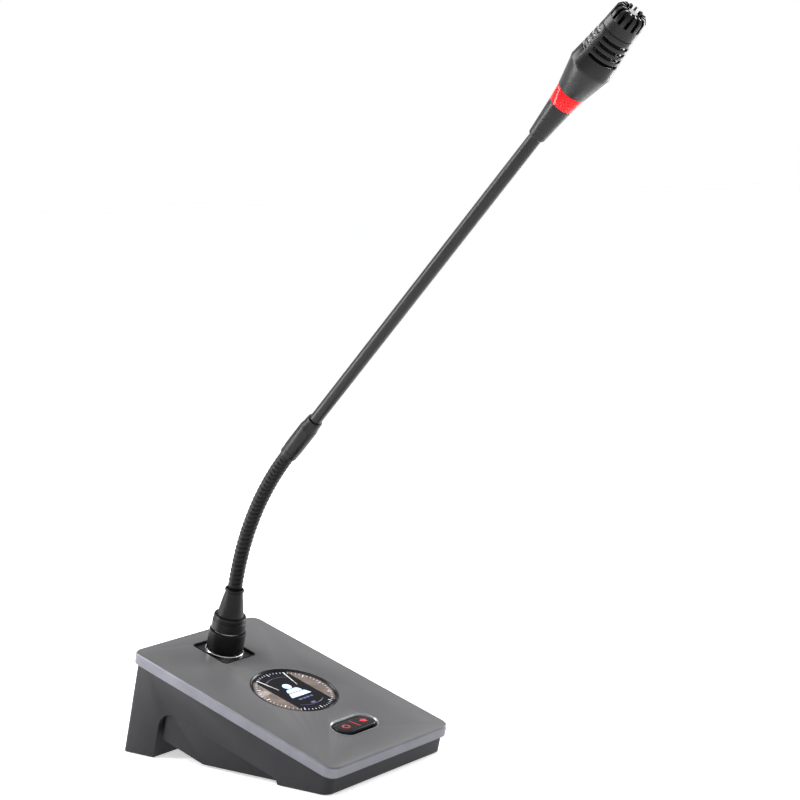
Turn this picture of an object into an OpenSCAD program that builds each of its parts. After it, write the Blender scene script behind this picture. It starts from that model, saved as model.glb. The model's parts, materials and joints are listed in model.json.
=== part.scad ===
// Gooseneck podium microphone: a wedge-shaped desk unit with a round display and a
// two-way key, and a plug-in microphone on a bendable neck and a straight stem.
// Origin: centre of the front foot's underside. +X is the speaker's right, -Y faces
// the speaker, +Z is up. "Plate coordinates" lie in the sloping top: x across, y up the
// slope from the plate's front edge, z along the plate's outward normal.

/* [Desk unit] */
// Width across the trim band
plate_w = 106; // [90:1:130]
// Length of the sloping top, front edge to rear edge
plate_l = 166.5; // [150:0.5:200]
// Slope of the top above the desk
tilt = 17; // [12:0.5:20]
// Height of the plate's front edge above the desk
front_h = 17; // [15:0.5:24]
// Radius of the plate's corners
corner_r = 7; // [4:0.5:12]
// Height of the trim band
band_h = 6.5; // [4:0.5:10]
// Thickness of the trim band
band_t = 2.2; // [1.6:0.1:3]
// Thickness of the top plate
plate_t = 1.6; // [1:0.1:2.5]
// Wall of the housing and of the bottom cover
wall = 2.4; // [1.8:0.1:3]
// Depth of the side skirt below the top, square to it
skirt_h = 26; // [22:0.5:32]
// Depth of the bottom cover's belly below the top, square to it
belly_h = 46; // [40:1:50]
// Length of the rear leg along the slope
leg_l = 27; // [20:1:34]
// Radius of the arch in front of the rear leg
arch_r = 12; // [6:1:16]
// Length of the front foot along the slope
foot_l = 38; // [32:1:44]

/* [Display and key] */
// Diameter of the display's opening
display_d = 54; // [44:1:58]
// Place of the display's centre, up the slope
display_v = 80; // [76:1:86]
// Width of the key's dish
dish_w = 35; // [30:1:42]
// Length of the key's dish along the slope
dish_l = 18.5; // [16:0.5:22]
// Place of the key's centre, up the slope
key_v = 31; // [30:1:36]
// Gap between the key cap and its dish
key_gap = 1.3; // [1.2:0.1:1.8]
// Radius of the key's axle
axle_r = 1; // [0.8:0.1:1.4]

/* [Microphone socket] */
// Width of the square well around the socket
well_w = 28; // [26:0.5:34]
// Place of the socket's axis, up the slope
socket_v = 140; // [136:1:144]
// Radius of the plug's metal shell
shell_r = 8.3; // [7:0.1:9]
// How far the plug goes into the socket
plug_depth = 14; // [10:1:16]
// Outer radius of the lock ring
lock_r = 11.35; // [10.8:0.05:13]

/* [Microphone arm] */
// Outer radius of the gooseneck
neck_r = 4.5; // [3.6:0.1:5.4]
// Length of the gooseneck between the boot and the coupling sleeve
neck_l = 100.5; // [80:0.5:140]
// Length of the gooseneck's lower end, which stays straight
neck_rise = 7; // [2:0.5:14]
// Total bend of the gooseneck at rest
neck_bend = 29.8; // [10:0.2:40]
// Radius of the stem tube
stem_r = 3.7; // [3:0.1:4]
// Length of the stem that shows between the sleeve and the head
stem_l = 227; // [150:1:300]
// Length of the coupling sleeve
sleeve_l = 31.5; // [24:0.5:40]
// Length of the whole head, from the stem to the fins
head_l = 85.5; // [80:0.5:90]
// Radius of the head at its shoulder
head_r = 11.9; // [10.5:0.1:13]

/* [Clearances] */
// Running clearance on the axle, the lock ring and the plug's shell
run_gap = 0.08; // [0.02:0.01:0.1]
// Clearance between parts that are put together and stay
seat_gap = 0.15; // [0.1:0.05:0.3]

/* [Hidden] */
$fn = 64;

// Desk unit
foot_t = 1.6;                     // thickness of the rubber feet
foot_proud = 0.6;                 // how far they stand below the housing
notch_l = 3;                      // slanted step behind the front foot
plate_y = -29;                    // the plate's front edge, in front of the front foot
plate_in = 1;                     // lip of the trim band around the plate
housing_w = plate_w - 2 * band_t;
housing_end = plate_l - band_t;
leg_v = housing_end - leg_l;      // front face of the rear leg
skirt_ref = 26;                   // deepest skirt that clears the desk behind foot_l
foot_end = foot_l + max(0, skirt_h - skirt_ref) / tan(tilt);
deep = 3 * belly_h;               // far enough below the top to pass the desk
shell_n = -plate_t;               // top of the housing
cover_w = housing_w - 2 * (wall + seat_gap);
cover_v0 = foot_end + notch_l + seat_gap;
cover_v1 = leg_v - 3;
cover_top = -skirt_h + 4;
cover_floor_z = foot_proud + 1.4; // the cover clears the desk by this much
panel_v = cover_v1 - 24;          // the line sockets' panel, in its bay
bay_w = 68;
screw_r = 1.5;
head_screw_r = 2.8;
screw_h = 1.8;
cover_screw_x = cover_w / 2 - 7;
cover_screws_v = [cover_v0 + 12, panel_v - 4];
post_r = 4;
rib_reach = 8;                    // from a post into the side wall
plate_post_x = housing_w / 2 - wall - 4.6;
plate_posts_v = [14, panel_v + 7];
plate_post_l = 13;
boss_l = 9;                       // bosses that the cover screws bite into

// Display
display_r = display_d / 2;
bezel_wall = 1.4;
bezel_flange = 2.5;
bezel_depth = 3.2;
lens_t = 1.2;
lens_top = -0.9;
panel_t = 2.4;
board_t = 1.6;

// Key
dish_wall = 1.1;
dish_depth = 6;
dish_flange = 1.6;
cap_w = dish_w - 2 * (dish_wall + key_gap);
cap_l = dish_l - 2 * (dish_wall + key_gap);
cap_lean = -9;                    // the cap lies flatter than the plate
cap_top = 0.5;
cap_t = 3;
axle_n = -4.2;
plunger_x = 9;
plunger_r = 1.2;
switch_gap = 0.6;
switch_h = 2.4;
key_board_n = -14;

// Socket
ring_r = lock_r + 0.65;
ring_ref = 12;                    // largest ring that fits a well of well_w
well_side = well_w + 2 * max(0, ring_r - ring_ref);
well_l = well_side + 2;
well_wall = 1.2;
well_depth = 4;
ring_wall = 0.7;
ring_top = 0.7;
socket_r = lock_r - 0.1;
socket_l = 19;
pin_count = 5;
pin_ring_r = 4.4;
pin_r = 0.8;

// Plug, along the socket's axis, from the plate's face
lock_n0 = 1;
lock_n1 = 13.6;
collar_n0 = 14.4;
collar_n1 = 23.8;
boot_n1 = 39.6;
lip_n1 = 41.4;
core_r = lock_r - 2.25;
boot_r0 = 8.2;
boot_r1 = neck_r + 0.8;
lip_r = neck_r + 1.4;

// Gooseneck: a chain of links on an arc
joints = 10;
arc_n0 = lip_n1 + neck_rise;
arc_l = neck_l - neck_rise;
pitch = arc_l / joints;
neck_arc_r = arc_l * 180 / (PI * neck_bend);
link_gap = 1.3;                   // room for a joint's largest angle
ball_r = 2.3;
ball_gap = 0.3;
ribs_per_link = 3;
rib_h = 0.45;
neck_bore = 1;
sleeve_r = neck_r + 1;

// Head, along the stem's axis, from the end of the gooseneck
head_t0 = sleeve_l + stem_l;
cone_l = 22.5;
ring_l = 9;
rise_l = 17;
head_end = head_t0 + head_l;
ring_t0 = head_t0 + cone_l;
barrel_t0 = ring_t0 + ring_l;
shoulder_t = barrel_t0 + rise_l;
crown_l = 13;
crown_t0 = head_end - crown_l;
cone_r0 = stem_r + 1.1;
ring_r0 = 6.8;
ring_r1 = 7.9;
crown_r0 = head_r - 2.5;
crown_r1 = head_r - 3.2;
head_wall = 1.4;
slot_rows = 4;
slot_pitch = 3.65;
slot_h = 1.7;
slot_t0 = crown_t0 - 4.9 - (slot_rows - 1) * slot_pitch;
slot_count = 3;
slot_angle = 102;
fin_count = 14;
fin_slot = 1.7;
fin_l = 7;
fin_hub_r = 3;
screen_r = crown_r1 - head_wall - 0.6;

// Place on the sloping top
module plate_frame() {
    translate([0, plate_y, front_h]) rotate([tilt, 0, 0]) children();
}

// Where a line square to the slope meets the desk
function desk_y(v) = plate_y + v * cos(tilt) + (front_h + v * sin(tilt)) * tan(tilt);

// Everything above a height over the desk
module above(z) {
    intersection() {
        children();
        translate([-200, -200, z]) cube([400, 500, 300]);
    }
}

// The plate's outline, moved in by some distance
function arc(cx, cy, r, a0, steps = 6) =
    [for (i = [0:steps]) [cx + r * cos(a0 + 90 * i / steps), cy + r * sin(a0 + 90 * i / steps)]];
function box_outline(x, y0, y1, r) = concat(
    arc(x - r, y1 - r, r, 0), arc(r - x, y1 - r, r, 90),
    arc(r - x, y0 + r, r, 180), arc(x - r, y0 + r, r, 270));
module plate_outline(inset) {
    polygon(box_outline(plate_w / 2 - inset, inset, plate_l - inset, max(corner_r - inset, 1)));
}

// A slab with rounded corners, from one level to another
module slab(w, l, r, n0, n1) {
    translate([0, 0, n0]) linear_extrude(n1 - n0) polygon(box_outline(w / 2, -l / 2, l / 2, r));
}

// A slab whose ends are half circles
module oval_slab(w, l, n0, n1) {
    translate([0, 0, n0]) linear_extrude(n1 - n0) {
        square([w - l, l], center = true);
        for (side = [-1, 1]) translate([side * (w - l) / 2, 0]) circle(l / 2);
    }
}

module rod(r, n0, n1) {
    translate([0, 0, n0]) cylinder(r = r, h = n1 - n0);
}

module ring(r_in, r_out, n0, n1) {
    rotate_extrude() translate([r_in, n0]) square([r_out - r_in, n1 - n0]);
}

// A pan-head screw, its head below and its shank going up
module screw(l) {
    rod(screw_r, screw_h, screw_h + l);
    difference() {
        rod(head_screw_r, 0, screw_h);
        for (turn = [0, 90]) rotate(turn)
            translate([-1.8, -0.35, -1]) cube([3.6, 0.7, 2]);
    }
}

// Where the bottom cover's screws are, looking up from the desk
module at_cover_screws() {
    for (side = [-1, 1]) for (v = cover_screws_v)
        translate([side * cover_screw_x, v, 0]) children();
}

module at_plate_posts() {
    for (side = [-1, 1]) for (v = plate_posts_v) translate([side * plate_post_x, v, 0]) children();
}

// A round post with a rib that runs through it to the side wall
module post(n0, n1) {
    rod(post_r, n0, n1);
    translate([0, 0, (n0 + n1) / 2]) cube([2 * rib_reach, 1.6, n1 - n0], center = true);
}

// Side opening between the front foot and the rear leg, square to the slope
module side_opening(n_top) {
    rotate([90, 0, 90]) translate([0, 0, -plate_w]) linear_extrude(2 * plate_w)
        polygon(concat([[foot_end, -deep], [foot_end, n_top - 5], [foot_end + notch_l, n_top]],
            [for (a = [90:-15:0]) [leg_v - arch_r + arch_r * cos(a), n_top - arch_r + arch_r * sin(a)]],
            [[leg_v, -deep]]));
}

module prism(inset, n_top) {
    translate([0, 0, -deep]) linear_extrude(deep + n_top) plate_outline(inset);
}

// Moulded shell: the skirt, the front foot and the rear leg in one piece
module housing() {
    color("#3a3b3e") difference() {
        above(foot_proud) plate_frame() difference() {
            prism(band_t, shell_n);
            side_opening(-skirt_h);
        }
        above(foot_proud + wall) plate_frame() difference() {
            prism(band_t + wall, 1);
            translate([-plate_w, leg_v, -deep]) cube([2 * plate_w, wall, deep - skirt_h]);
            at_plate_posts() post(shell_n - plate_post_l, shell_n);
            at_cover_screws() post(cover_top + seat_gap, cover_top + boss_l);
        }
        plate_frame() {
            at_plate_posts() rod(screw_r, shell_n - plate_post_l - 1, 0);
            at_cover_screws() rod(screw_r, cover_top - 1, cover_top + boss_l + 1);
        }
        foot_seats();
    }
}

// Shallow pockets under the housing for the rubber feet
foot_pad_w = housing_w - 24;
front_pad_l = 18;
rear_pad_l = 15;
rear_pad_y = desk_y(leg_v + leg_l / 2);
module foot_seats() {
    slab(foot_pad_w, front_pad_l, 3, 0, foot_t);
    translate([0, rear_pad_y, 0]) slab(foot_pad_w, rear_pad_l, 3, 0, foot_t);
}

// Rubber strips that the unit stands on
module front_foot() {
    color("#202022") slab(foot_pad_w, front_pad_l, 3, 0, foot_t);
}

module rear_foot() {
    color("#202022") translate([0, rear_pad_y, 0]) slab(foot_pad_w, rear_pad_l, 3, 0, foot_t);
}

// Belly tray: closes the housing from below and holds the ballast and the line sockets
module cover_block(inset, n_top, z_floor, belly) {
    above(z_floor) plate_frame() translate([-cover_w / 2 + inset, cover_v0 + inset, -belly])
        cube([cover_w - 2 * inset, cover_v1 - cover_v0 - 2 * inset, belly + n_top]);
}

module bay(grow) {
    plate_frame() translate([-bay_w / 2 - grow, panel_v - grow, -deep])
        cube([bay_w + 2 * grow, plate_l, deep - skirt_h + grow]);
}

module bottom_cover() {
    color("#343538") difference() {
        union() {
            cover_block(0, cover_top, cover_floor_z, belly_h);
            plate_frame() translate([-cover_w / 2, cover_v1 - wall, -skirt_h])
                cube([cover_w, leg_v - seat_gap - cover_v1 + wall, skirt_h + cover_top]);
        }
        difference() {
            cover_block(wall, 1, cover_floor_z + wall, belly_h - wall);
            bay(wall);
            plate_frame() at_cover_screws() rod(post_r, -deep, cover_top);
        }
        bay(0);
        plate_frame() at_cover_screws() {
            rod(screw_r + seat_gap, -deep, 0);
            rod(head_screw_r + seat_gap, -deep, cover_top - 6);
        }
        plate_frame() for (side = [-1, 1])
            translate([side * line_x, panel_v, line_n])
                cube([line_w + 2 * seat_gap, 20, line_h + 2 * seat_gap], center = true);
        ballast_holes(screw_r);
    }
}

module cover_screws() {
    color("#8c8f94") plate_frame() at_cover_screws() translate([0, 0, cover_top - 6 - screw_h])
        screw(10);
}

// Extruded aluminium band around the top, with a lip for the plate
module trim_band() {
    color("#a9a9b1") plate_frame() difference() {
        translate([0, 0, -band_h]) linear_extrude(band_h) plate_outline(0);
        translate([0, 0, -band_h - 1]) linear_extrude(band_h + 1 + shell_n) plate_outline(band_t);
        translate([0, 0, shell_n]) linear_extrude(plate_t + 1) plate_outline(plate_in);
    }
}

// Sheet plate with the openings for the socket, the display and the key
module top_plate() {
    color("#6a6a6b") plate_frame() difference() {
        translate([0, 0, shell_n]) linear_extrude(plate_t) plate_outline(plate_in);
        translate([0, socket_v, 0]) slab(well_side, well_l, 3, -9, 9);
        translate([0, display_v, 0]) rod(display_r, -9, 9);
        translate([0, key_v, 0]) oval_slab(dish_w, dish_l, -9, 9);
    }
}

module plate_screws() {
    color("#8c8f94") plate_frame() at_plate_posts()
        translate([0, 0, shell_n - plate_post_l - screw_h]) screw(plate_post_l);
}

// Steel slab that keeps the unit steady under the long arm
ballast_t = 6;
ballast_w = 2 * (cover_screw_x - post_r - 1);
ballast_z = cover_floor_z + wall;
ballast_y0 = desk_y(cover_v0) + 10.8;
belly_y = plate_y + (ballast_z - front_h) / tan(tilt) + (belly_h - wall) / sin(tilt);
ballast_l = min(desk_y(panel_v) - 23.5, belly_y - 10.9) - ballast_y0;
module at_ballast_screws() {
    for (side = [-1, 1]) translate([side * (ballast_w / 2 - 12), ballast_y0 + ballast_l / 2, 0])
        children();
}

module ballast_holes(r) {
    at_ballast_screws() rod(r, 0, 40);
}

module ballast_plate() {
    color("#7d7f83") difference() {
        translate([-ballast_w / 2, ballast_y0, ballast_z]) cube([ballast_w, ballast_l, ballast_t]);
        ballast_holes(screw_r);
    }
}

module ballast_screws() {
    color("#8c8f94") at_ballast_screws() translate([0, 0, ballast_z + ballast_t + screw_h])
        mirror([0, 0, 1]) screw(ballast_t + wall - 0.5);
}

// Moulded cup that drops the socket below the plate
module socket_well() {
    color("#1c1c1e") plate_frame() translate([0, socket_v, 0]) difference() {
        union() {
            slab(well_side - 2 * seat_gap, well_l - 2 * seat_gap, 3, -well_depth, 0);
            slab(well_side + 3, well_l + 3, 3, -well_depth, shell_n);
        }
        slab(well_side - 2 * well_wall, well_l - 2 * well_wall, 2, -well_depth + well_wall, 1);
        rod(ring_r - ring_wall, -20, 20);
    }
}

// Bright ring around the socket's mouth
module socket_ring() {
    color("#d9d7d2") plate_frame() translate([0, socket_v, 0])
        ring(ring_r - ring_wall, ring_r, -well_depth + well_wall, ring_top);
}

// Socket insert under the well
module mic_socket() {
    color("#232325") plate_frame() translate([0, socket_v, 0]) difference() {
        union() {
            rod(socket_r, -socket_l, -well_depth + well_wall);
            rod(socket_r + 2, -well_depth - 1.5, -well_depth);
        }
        rod(shell_r + run_gap, -plug_depth - 0.5, 1);
        rod(pin_ring_r + 1.6, -socket_l - 1, -plug_depth - 2.5);
        for (i = [0:pin_count - 1]) rotate(i * 360 / pin_count)
            translate([pin_ring_r, 0, 0]) rod(pin_r + 0.4, -socket_l - 1, 0);
    }
}

module socket_contacts() {
    color("#d8b25a") plate_frame() translate([0, socket_v, 0])
        for (i = [0:pin_count - 1]) rotate(i * 360 / pin_count)
            translate([pin_ring_r, 0, 0]) ring(pin_r + 0.08, pin_r + 0.4, -socket_l - 2, -plug_depth - 0.5);
}

// Round display: bezel, glass, panel and its board
module display_bezel() {
    color("#2a2a2d") plate_frame() translate([0, display_v, 0]) rotate_extrude() polygon([
        [display_r - bezel_wall - 1, -bezel_depth],
        [display_r + bezel_flange, -bezel_depth],
        [display_r + bezel_flange, shell_n],
        [display_r - seat_gap, shell_n],
        [display_r - seat_gap, 0],
        [display_r - bezel_wall, lens_top],
        [display_r - bezel_wall, lens_top - lens_t],
        [display_r - bezel_wall - 1, lens_top - lens_t]]);
}

module display_lens() {
    color("#101218") plate_frame() translate([0, display_v, 0])
        rod(display_r - bezel_wall - 0.05, lens_top - lens_t, lens_top);
}

module display_panel() {
    color("#1a1d2c") plate_frame() translate([0, display_v, 0]) {
        rod(display_r - bezel_wall - 1.1, -bezel_depth, lens_top - lens_t);
        rod(display_r - bezel_wall, -bezel_depth - panel_t, -bezel_depth);
    }
}

module display_board() {
    color("#1f5a38") plate_frame() translate([0, display_v, 0])
        rod(display_r - 2, -bezel_depth - panel_t - board_t, -bezel_depth - panel_t);
}

// Two-way key: dish, axle, cap, board and switches
module key_dish() {
    color("#67686a") plate_frame() translate([0, key_v, 0]) difference() {
        union() {
            oval_slab(dish_w - 2 * seat_gap, dish_l - 2 * seat_gap, -dish_depth, 0);
            oval_slab(dish_w + 2 * dish_flange, dish_l + 2 * dish_flange, -dish_depth, shell_n);
        }
        oval_slab(dish_w - 2 * dish_wall, dish_l - 2 * dish_wall, -dish_depth - 1, 1);
        translate([0, 0, axle_n]) rotate([90, 0, 0]) rod(axle_r, -dish_l, dish_l);
    }
}

module key_axle() {
    color("#b9bbc0") plate_frame() translate([0, key_v, axle_n]) rotate([90, 0, 0])
        rod(axle_r, -dish_l / 2 - dish_flange, dish_l / 2 + dish_flange);
}

module key_cap() {
    color("#1d1d20") plate_frame() translate([0, key_v, 0]) difference() {
        union() {
            intersection() {
                oval_slab(cap_w, cap_l, -dish_depth + 0.4, 6);
                rotate([cap_lean, 0, 0]) translate([-50, -50, -cap_t]) cube([100, 100, cap_t + cap_top]);
            }
            translate([-2.4, -cap_l / 2 + 0.5, -dish_depth + 0.4]) cube([4.8, cap_l - 1, 4]);
            for (side = [-1, 1]) translate([side * plunger_x, 0, 0])
                rod(plunger_r, key_board_n + board_t + switch_h + switch_gap, -1);
        }
        translate([0, 0, axle_n]) rotate([90, 0, 0]) rod(axle_r + run_gap, -dish_l, dish_l);
    }
}

module key_board() {
    color("#1f5a38") plate_frame() translate([0, key_v, 0])
        slab(dish_w, dish_l, 1, key_board_n, key_board_n + board_t);
}

module key_switches() {
    color("#4a4c50") plate_frame() for (side = [-1, 1])
        translate([side * plunger_x, key_v, key_board_n + board_t]) {
            translate([-3, -3, 0]) cube([6, 6, 1.6]);
            rod(1.6, 1.6, switch_h);
        }
}

// Main board, on four pillars under the plate
board_w = 64;
board_v0 = 48;
board_l = 60;
main_n = -17;
stud_r = 3;
module at_board_screws() {
    for (side = [-1, 1]) for (v = [board_v0 + 4, board_v0 + board_l - 4])
        translate([side * (board_w / 2 - 4), v, 0]) children();
}

module main_board() {
    color("#1f5a38") plate_frame() difference() {
        translate([-board_w / 2, board_v0, main_n]) cube([board_w, board_l, board_t]);
        at_board_screws() rod(screw_r + seat_gap, -60, 0);
    }
}

module board_chips() {
    color("#18181a") plate_frame() for (spot = [[-22, 62, 14], [10, 60, 10], [24, 84, 9], [-10, 86, 8]])
        translate([spot[0] - spot[2] / 2, spot[1] - spot[2] / 2, main_n - 2])
            cube([spot[2], spot[2], 2]);
}

module board_studs() {
    color("#b9bbc0") plate_frame() at_board_screws() difference() {
        rod(stud_r, main_n + board_t, shell_n);
        rod(screw_r, main_n, main_n + board_t + 5);
    }
}

module board_screws() {
    color("#8c8f94") plate_frame() at_board_screws()
        translate([0, 0, main_n - screw_h]) screw(board_t + 4);
}

// Two line sockets side by side in the cover's rear bay
line_w = 16;
line_h = 13.5;
line_x = 17;
line_n = 13 - belly_h;
line_depth = 18;
line_board_l = 14.5;
module line_sockets() {
    color("#2c2c30") plate_frame() for (side = [-1, 1])
        translate([side * line_x, panel_v + 0.6, line_n]) difference() {
            translate([-line_w / 2, -line_depth, -line_h / 2]) cube([line_w, line_depth, line_h]);
            translate([-5.9, -14, -4]) cube([11.8, 20, 8]);
            translate([-3, -14, -5.6]) cube([6, 20, 3]);
        }
}

module line_board() {
    color("#1f5a38") plate_frame()
        translate([-bay_w / 2, panel_v - wall - seat_gap - line_board_l, line_n - line_h / 2 - board_t])
            cube([bay_w, line_board_l, board_t]);
}

// Plug, pins, collar and boot
module plug_body() {
    color("#8f9196") plate_frame() translate([0, socket_v, 0]) difference() {
        union() {
            rod(shell_r, -plug_depth, lock_n0);
            rod(core_r, lock_n0, collar_n0);
            rod(core_r - 2, collar_n0, collar_n1);
        }
        rod(shell_r - 1, -plug_depth - 1, -3);
        rod(neck_r - 0.6, 0, collar_n1 + 1);
        rod(neck_r, collar_n1 - 6, collar_n1 + 1);
    }
}

module plug_pins() {
    color("#d8b25a") plate_frame() translate([0, socket_v, 0])
        for (i = [0:pin_count - 1]) rotate(i * 360 / pin_count)
            translate([pin_ring_r, 0, 0]) rod(pin_r, -plug_depth - 4, -3);
}

module plug_collar() {
    color("#1b1b1d") plate_frame() translate([0, socket_v, 0]) rotate_extrude() polygon([
        [core_r - 2, collar_n0], [lock_r - 0.9, collar_n0], [lock_r - 1.1, collar_n0 + 6],
        [lock_r - 1.7, collar_n0 + 6.4], [lock_r - 1.7, collar_n0 + 7.2],
        [lock_r - 1.3, collar_n0 + 7.6], [lock_r - 1.5, collar_n1], [core_r - 2, collar_n1]]);
}

module plug_boot() {
    color("#1b1b1d") plate_frame() translate([0, socket_v, 0]) rotate_extrude() polygon([
        [neck_r, collar_n1], [boot_r0, collar_n1], [boot_r1, boot_n1], [lip_r, boot_n1 + 0.3],
        [lip_r - 0.2, lip_n1], [neck_r, lip_n1]]);
}

// Knurled ring that holds the plug in its socket
module lock_ring() {
    color("#161617") plate_frame() translate([0, socket_v, 0])
        ring(core_r + run_gap, lock_r, lock_n0 + 0.1, lock_n1);
}

// Gooseneck: place of joint i, and the frame of the link above it
function neck_angle(s) = neck_bend * s / arc_l;
function neck_point(s) = [0, socket_v - neck_arc_r * (1 - cos(neck_angle(s))),
    arc_n0 + neck_arc_r * sin(neck_angle(s))];
function joint_s(i) = pitch * (i + 0.5);
module neck_at(i) {
    a = neck_point(joint_s(i));
    b = neck_point(joint_s(i + 1));
    plate_frame() translate(a) rotate([atan2(a[1] - b[1], b[2] - a[2]), 0, 0]) children();
}
module arm_frame() {
    plate_frame() translate(neck_point(arc_l)) rotate([neck_bend, 0, 0]) children();
}
link_l = 2 * neck_arc_r * sin(neck_angle(pitch) / 2);

// Ribbed tube wall, as an outline from one level to another
function ribs(n0, n1, step) = concat(
    [[0, n0], [neck_r - rib_h, n0]],
    [for (n = [n0:step:n1 - step / 2]) for (p = [[0, 0.2], [rib_h, 0.35], [rib_h, 0.75], [0, 0.9]])
        [neck_r - rib_h + p[0], n + p[1] * step]],
    [[neck_r - rib_h, n1], [0, n1]]);

module ribbed(n0, n1, count) {
    difference() {
        rotate_extrude() polygon(ribs(n0, n1, (n1 - n0) / count));
        rod(neck_bore, n0 - 5, n1 + 5);
    }
}

// Ball that the next link turns on
module neck_ball(n) {
    difference() {
        translate([0, 0, n]) union() {
            sphere(ball_r);
            rod(ball_r - 0.7, -ball_r - link_gap / 2 - 1, -ball_r / 2);
        }
        rod(neck_bore, n - 20, n + 20);
    }
}

module link_shell(n0, n1, count) {
    difference() {
        ribbed(n0, n1, count);
        sphere(ball_r + ball_gap);
    }
}

module neck_base() {
    color("#1d1d1f") plate_frame() translate([0, socket_v, 0]) difference() {
        union() {
            rod(neck_r, collar_n1 - 6, lip_n1 + 0.2);
            ribbed(lip_n1 + 0.2, arc_n0 + pitch / 2 - link_gap / 2, ribs_per_link + 1);
            neck_ball(arc_n0 + joint_s(0));
        }
        rod(neck_bore, -10, 100);
    }
}

module neck_link(i) {
    color("#1d1d1f") neck_at(i - 1) {
        link_shell(link_gap / 2, link_l - link_gap / 2, ribs_per_link);
        neck_ball(link_l);
    }
}

module neck_tip() {
    color("#1d1d1f") arm_frame() difference() {
        union() {
            ribbed(-pitch / 2 + link_gap / 2, 0, 1);
            rod(neck_r, 0, sleeve_l * 0.6);
        }
        translate([0, 0, -pitch / 2]) sphere(ball_r + ball_gap);
        rod(neck_bore, -10, 100);
    }
}

// Sleeve that joins the gooseneck to the stem
module coupling_sleeve() {
    color("#1a1a1c") arm_frame() difference() {
        rotate_extrude() polygon([
            [0, 0], [sleeve_r - 0.5, 0], [sleeve_r - 0.2, 0.6], [sleeve_r - 0.2, 4],
            [sleeve_r - 0.4, 4.4], [sleeve_r - 0.4, 5], [sleeve_r, 5.4], [sleeve_r, sleeve_l - 8],
            [sleeve_r - 0.3, sleeve_l - 6], [sleeve_r - 0.5, sleeve_l - 5.6],
            [stem_r + 1, sleeve_l], [0, sleeve_l]]);
        rod(neck_r, -1, sleeve_l * 0.6);
        rod(stem_r, 0, sleeve_l + 1);
    }
}

module stem_tube() {
    color("#19191b") arm_frame() ring(stem_r - 0.8, stem_r, sleeve_l * 0.6, head_t0 + 8);
}

// Head, from the stem outwards
module head_cone() {
    color("#19191b") arm_frame() difference() {
        rotate_extrude() polygon([
            [0, head_t0], [cone_r0 - 0.2, head_t0], [cone_r0, head_t0 + 0.4],
            [cone_r0 + 0.3, head_t0 + 4], [ring_r0 - 0.1, ring_t0], [0, ring_t0]]);
        rod(stem_r, head_t0 - 1, head_t0 + 8);
        rod(1.6, head_t0, ring_t0 + 1);
        translate([0, 0, head_t0 + 12]) cylinder(r1 = 2, r2 = 5, h = cone_l - 11.9);
    }
}

module light_ring() {
    color("#ff2a2e") arm_frame() rotate_extrude() polygon([
        [4.6, ring_t0], [ring_r0, ring_t0], [ring_r1, barrel_t0], [4.6, barrel_t0]]);
}

module light_board() {
    color("#e8e8e0") arm_frame() ring(1.6, 4.5, ring_t0 + 3.6, ring_t0 + 5.2);
}

// Barrel: inner outline and outer outline follow each other
module head_barrel() {
    color("#19191b") arm_frame() difference() {
        rotate_extrude() polygon([
            [3, barrel_t0], [ring_r1 - 0.1, barrel_t0], [ring_r1 + 0.2, barrel_t0 + 0.4],
            [head_r - 0.5, shoulder_t - 1.5], [head_r, shoulder_t], [head_r - 0.2, shoulder_t + 1],
            [crown_r0, crown_t0], [crown_r0 - head_wall, crown_t0],
            [head_r - head_wall - 0.2, shoulder_t + 1], [ring_r1 - head_wall, barrel_t0 + 2],
            [3, barrel_t0 + 2]]);
        for (row = [0:slot_rows - 1]) for (i = [0:slot_count - 1])
            rotate(i * 360 / slot_count + 60)
                translate([0, 0, slot_t0 + row * slot_pitch])
                    rotate_extrude(angle = slot_angle) translate([4, 0]) square([12, slot_h]);
    }
}

// Cap with radial fins over the capsule
module crown_cap() {
    color("#19191b") arm_frame() difference() {
        translate([0, 0, crown_t0]) cylinder(r1 = crown_r0, r2 = crown_r1, h = crown_l);
        rod(crown_r1 - head_wall, crown_t0 - 1, head_end - fin_l);
        for (i = [0:fin_count - 1]) rotate((i + 0.5) * 360 / fin_count)
            translate([fin_hub_r, -fin_slot / 2, head_end - fin_l])
                cube([20, fin_slot, fin_l + 1]);
    }
}

// Fine mesh sleeve behind the slots
module head_screen() {
    color("#3b3b3e") arm_frame()
        ring(screen_r - 0.4, screen_r, shoulder_t + 2, head_end - fin_l);
}

module capsule_mount() {
    color("#28282a") arm_frame() difference() {
        rod(screen_r - 0.5, crown_t0 - 6, crown_t0 + 3);
        rod(4.9, crown_t0 - 3, crown_t0 + 4);
        rod(1.5, crown_t0 - 7, crown_t0);
    }
}

module capsule() {
    color("#b5b2a8") arm_frame() rod(4.85, crown_t0 - 3, crown_t0 + 3.4);
}

housing();
bottom_cover();
cover_screws();
trim_band();
top_plate();
plate_screws();
front_foot();
rear_foot();
ballast_plate();
ballast_screws();
socket_well();
socket_ring();
mic_socket();
socket_contacts();
display_bezel();
display_lens();
display_panel();
display_board();
key_dish();
key_axle();
key_board();
key_switches();
key_cap();
main_board();
board_chips();
board_studs();
board_screws();
line_sockets();
line_board();
plug_body();
plug_pins();
plug_collar();
plug_boot();
neck_base();
lock_ring();
neck_link(1);  // neck_link_1
neck_link(2);  // neck_link_2
neck_link(3);  // neck_link_3
neck_link(4);  // neck_link_4
neck_link(5);  // neck_link_5
neck_link(6);  // neck_link_6
neck_link(7);  // neck_link_7
neck_link(8);  // neck_link_8
neck_link(9);  // neck_link_9
neck_tip();
coupling_sleeve();
stem_tube();
head_cone();
light_ring();
light_board();
head_barrel();
crown_cap();
head_screen();
capsule_mount();
capsule();
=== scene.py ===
import json
import math

import bmesh
import bpy
from mathutils import Matrix, Quaternion, Vector


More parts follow.
